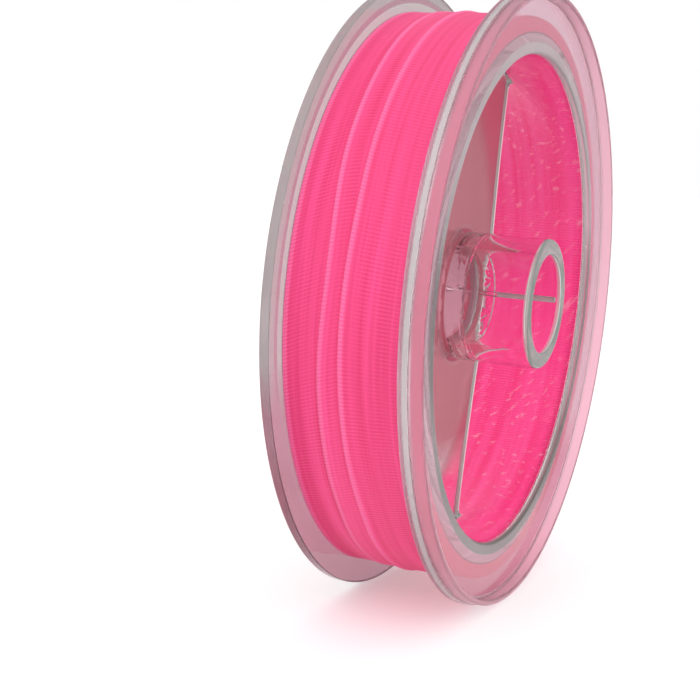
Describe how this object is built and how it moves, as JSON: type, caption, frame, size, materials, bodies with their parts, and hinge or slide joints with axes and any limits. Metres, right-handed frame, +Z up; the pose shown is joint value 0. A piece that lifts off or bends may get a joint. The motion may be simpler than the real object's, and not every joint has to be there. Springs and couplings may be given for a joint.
{
  "type": "spool of flat woven fishing tape",
  "caption": "Clear moulded spool with a round opening, a web bar and a hub bore, wound with bright flat woven tape between two flanges.",
  "frame": {"origin": "on the axis of the bore, midway between the inner faces of the two flanges", "axes": "+X along the axis of the bore, out of the end where the hub stands proud; +Z up; the spool stands on the rims of its flanges"},
  "size_m": [0.0202, 0.075, 0.075],
  "materials": {
    "clear_plastic": "clear injection-moulded polystyrene",
    "woven_tape": "satin plain weave, fluorescent pink",
    "sticky_tab": "matt adhesive film"
  },
  "bodies": {
    "root": {"near_flange": "clear_plastic", "far_flange": "clear_plastic", "stacking_rim": "clear_plastic", "drum_wall": "clear_plastic", "web_bar": "clear_plastic", "hub_tube": "clear_plastic", "hub_rib": "clear_plastic", "tape_core": "woven_tape", "tape_outer_turns": "woven_tape", "start_tab": "sticky_tab", "end_tab": "sticky_tab"}
  },
  "joints": []
}
